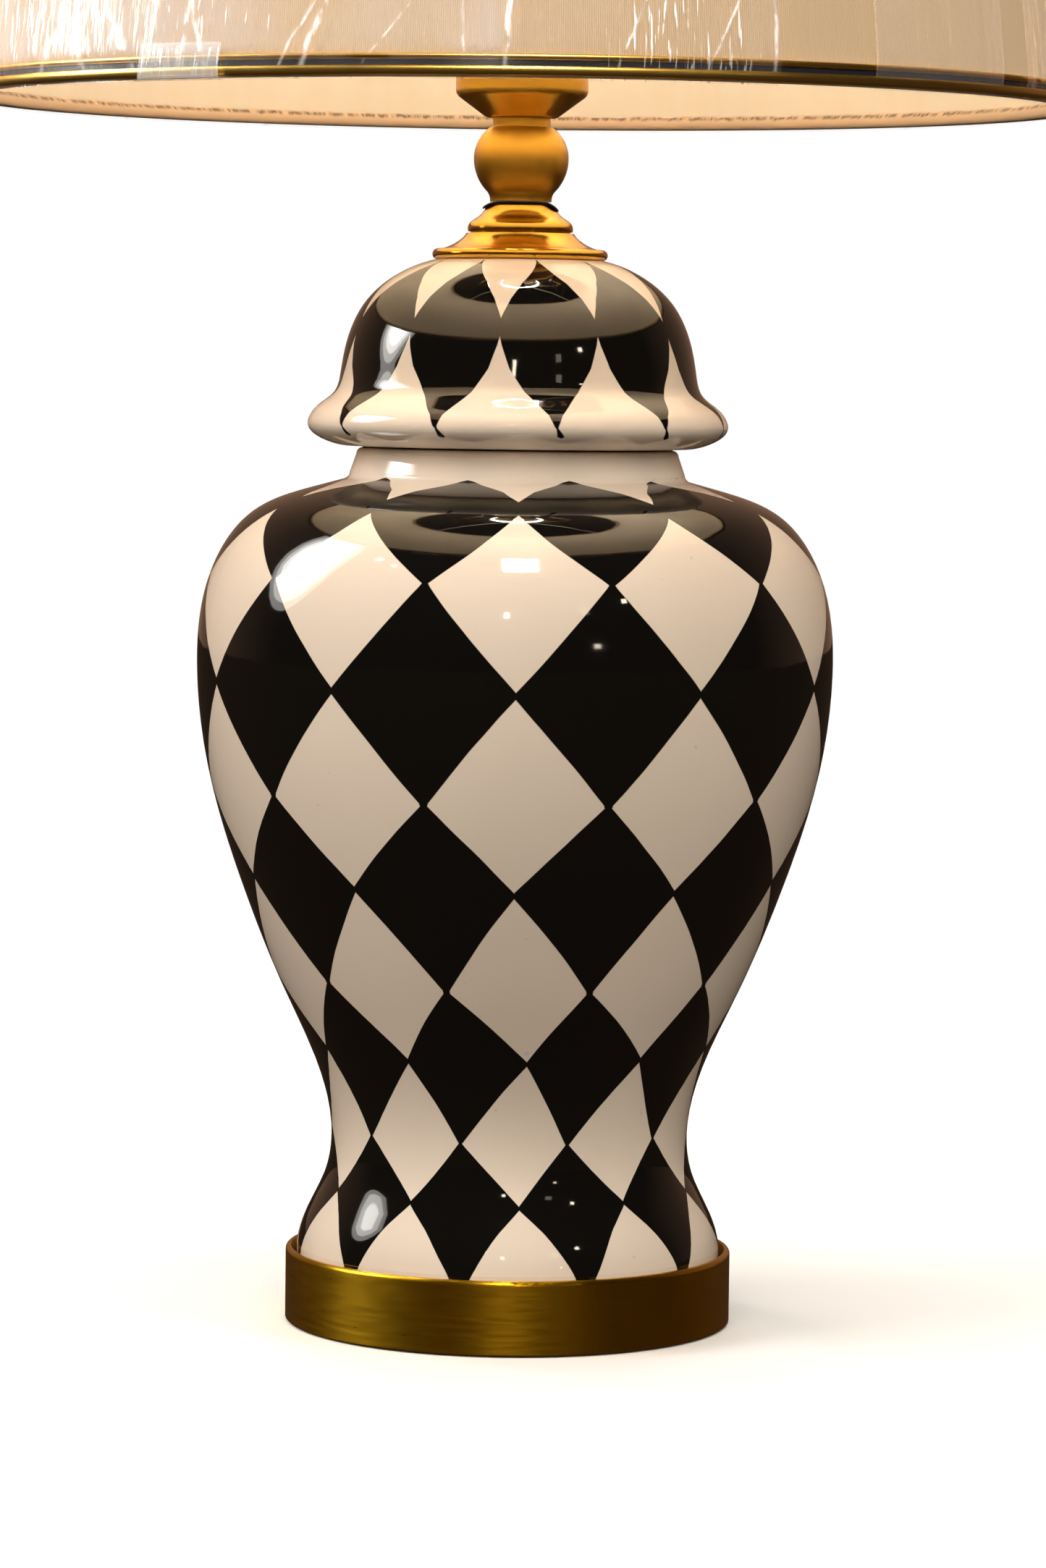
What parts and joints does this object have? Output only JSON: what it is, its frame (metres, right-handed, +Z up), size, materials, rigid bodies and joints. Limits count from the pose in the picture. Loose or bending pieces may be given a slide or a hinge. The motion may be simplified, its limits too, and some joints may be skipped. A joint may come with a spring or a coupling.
{
  "type": "table lamp",
  "caption": "Table lamp: glazed ceramic lidded jar with a harlequin pattern on a round brass base, brass neck, harp and a conical ribbed fabric shade with gold trim.",
  "frame": {"origin": "centre of the felt foot, on the surface that the lamp stands on", "axes": "+Z up along the lamp's axis; the harp lies in the XZ plane; -Y is the front, with the switch knob; the cord inlet faces +Y"},
  "size_m": [0.4051, 0.4052, 0.7118],
  "materials": {
    "brass": "brushed antique brass, lacquered",
    "bright_brass": "polished brass",
    "steel": "zinc plated",
    "glaze": "gloss white and black glaze in a harlequin pattern",
    "felt": "pressed felt",
    "black_rubber": "moulded rubber",
    "phenolic": "moulded phenolic",
    "paper_liner": "fibre insulating sleeve",
    "wire_insulation": "clear gold insulation",
    "bulb_metal": "pressed and threaded",
    "frosted_globe": "frosted white diffuser",
    "bulb_plastic": "moulded white",
    "board_white": "white solder mask with yellow chips",
    "shade_fabric": "finely ribbed fabric on a stiff backing",
    "shade_lining": "smooth pale lining",
    "hem_fabric": "turned and glued hem",
    "trim_gold": "polished gold beading",
    "trim_dark": "dark blue-black band",
    "film": "clear creased protective film",
    "shade_wire": "white painted wire"
  },
  "bodies": {
    "base": {"felt_pad": "felt", "base_cover": "steel", "base_ring": "brass", "cord_grommet": "black_rubber", "jar_seat_pad": "black_rubber", "rod_washer": "steel", "rod_nut": "steel", "centre_rod": "steel", "inner_wires": "wire_insulation", "jar_body": "glaze", "lid_gasket": "black_rubber", "jar_lid": "glaze", "vase_cap": "brass", "step_cap": "brass", "neck_washer": "black_rubber", "ball_neck": "brass", "socket_cup": "brass", "cup_nut": "steel", "harp_saddle": "brass", "lampholder_cap": "bright_brass", "lampholder_shell": "bright_brass", "shell_liner": "paper_liner", "lampholder_insulator": "phenolic", "terminal_screws": "bright_brass", "screw_shell": "bulb_metal", "centre_contact": "bright_brass", "harp": "bright_brass", "harp_stud": "bright_brass"},
    "shade": {"shade_panel": "shade_fabric", "shade_lining": "shade_lining", "shade_low_ring": "shade_wire", "shade_high_ring": "shade_wire", "hem_low": "hem_fabric", "hem_high": "hem_fabric", "trim_beads_low": "trim_gold", "trim_beads_high": "trim_gold", "trim_band_low": "trim_dark", "trim_band_high": "trim_dark", "shade_film": "film", "spider_washer": "shade_wire", "spider_arms": "shade_wire"},
    "finial_core": {"finial_insert": "bright_brass"},
    "finial": {"finial": "brass"},
    "bulb_foot": {"bulb_contact": "bulb_metal"},
    "bulb": {"bulb_insulator": "phenolic", "bulb_cap": "bulb_metal", "bulb_collar": "bulb_plastic", "led_board": "board_white", "bulb_globe": "frosted_globe"},
    "switch": {"switch_shaft": "bright_brass", "switch_knob": "phenolic"},
    "sleeve_left": {"harp_sleeve_left": "bright_brass"},
    "sleeve_right": {"harp_sleeve_right": "bright_brass"}
  },
  "joints": [
    {"name": "shade_turn", "type": "hinge", "parent": "base", "child": "shade", "pos_m": [0, 0, 0.6678], "axis": [0, 0, 1], "continuous": true},
    {"name": "finial_rise", "type": "slide", "parent": "base", "child": "finial_core", "axis": [0, 0, 1], "range_m": [0, 0.008]},
    {"name": "finial_turn", "type": "hinge", "parent": "finial_core", "child": "finial", "pos_m": [0, 0, 0.67], "axis": [0, 0, 1], "range_deg": [0, 2890]},
    {"name": "bulb_rise", "type": "slide", "parent": "base", "child": "bulb_foot", "axis": [0, 0, 1], "range_m": [0, 0.01815]},
    {"name": "bulb_turn", "type": "hinge", "parent": "bulb_foot", "child": "bulb", "pos_m": [0, 0, 0.502], "axis": [0, 0, 1], "range_deg": [0, 1810]},
    {"name": "switch_turn", "type": "hinge", "parent": "base", "child": "switch", "pos_m": [0, -0.03, 0.488], "axis": [0, -1, 0], "continuous": true},
    {"name": "sleeve_left_lift", "type": "slide", "parent": "base", "child": "sleeve_left", "axis": [0, 0, 1], "range_m": [0, 0.008]},
    {"name": "sleeve_right_lift", "type": "slide", "parent": "base", "child": "sleeve_right", "axis": [0, 0, 1], "range_m": [0, 0.008]}
  ],
  "couplings": [
    {"joint": "finial_turn", "follows": "finial_rise", "rad_per_m": 6283.2},
    {"joint": "bulb_turn", "follows": "bulb_rise", "rad_per_m": 1731.4}
  ]
}
